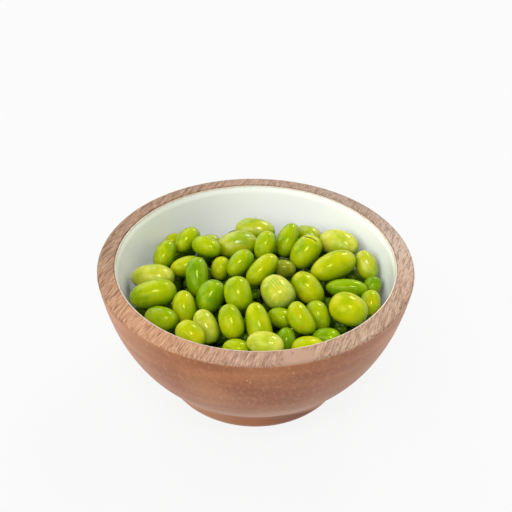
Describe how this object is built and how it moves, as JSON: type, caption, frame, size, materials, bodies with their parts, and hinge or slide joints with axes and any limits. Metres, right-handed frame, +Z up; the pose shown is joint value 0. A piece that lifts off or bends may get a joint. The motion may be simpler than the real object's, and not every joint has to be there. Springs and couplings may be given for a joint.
{
  "type": "bowl of shelled edamame beans",
  "caption": "Turned wooden bowl with a foot, enamelled white inside and filled with loose shelled edamame beans. It stands on its flat foot and serves food.",
  "frame": {"origin": "middle of the foot's flat underside, on the surface that the bowl stands on", "axes": "+Z up along the axis that the bowl was turned on, -Y towards a person in front of it, +X to their right"},
  "size_m": [0.12, 0.12, 0.0558],
  "materials": {
    "turned_wood": "turned mango wood, satin oiled wall with fine turning lines, drier open-pored rim",
    "white_enamel": "glossy off-white enamel coat",
    "bean_skin": "wet glossy cooked bean skin, yellow-green, some deeper or paler",
    "bean_skin_below": "the same wet bean skin, in the shade of the pile"
  },
  "bodies": {
    "root": {"wooden_bowl": "turned_wood", "enamel_lining": "white_enamel", "bean_01": "bean_skin", "bean_02": "bean_skin", "bean_03": "bean_skin", "bean_04": "bean_skin", "bean_05": "bean_skin", "bean_06": "bean_skin", "bean_07": "bean_skin", "bean_08": "bean_skin", "bean_09": "bean_skin", "bean_10": "bean_skin", "bean_11": "bean_skin", "bean_12": "bean_skin", "bean_13": "bean_skin", "bean_14": "bean_skin", "bean_15": "bean_skin", "bean_16": "bean_skin", "bean_17": "bean_skin", "bean_18": "bean_skin", "bean_19": "bean_skin", "bean_20": "bean_skin", "bean_21": "bean_skin", "bean_22": "bean_skin", "bean_23": "bean_skin", "bean_24": "bean_skin", "bean_25": "bean_skin", "bean_26": "bean_skin", "bean_27": "bean_skin", "bean_28": "bean_skin", "bean_29": "bean_skin", "bean_30": "bean_skin", "bean_31": "bean_skin", "bean_32": "bean_skin", "bean_33": "bean_skin", "bean_34": "bean_skin", "bean_35": "bean_skin", "bean_36": "bean_skin", "bean_37": "bean_skin", "bean_38": "bean_skin", "bean_39": "bean_skin", "bean_40": "bean_skin", "bean_41": "bean_skin", "bean_42": "bean_skin", "bean_43": "bean_skin", "bean_44": "bean_skin", "lower_beans_bottom": "bean_skin_below", "lower_beans_middle": "bean_skin_below", "lower_ring_1": "bean_skin_below", "lower_ring_2": "bean_skin_below", "lower_ring_3": "bean_skin_below", "lower_ring_4": "bean_skin_below", "lower_ring_5": "bean_skin_below"}
  },
  "joints": []
}
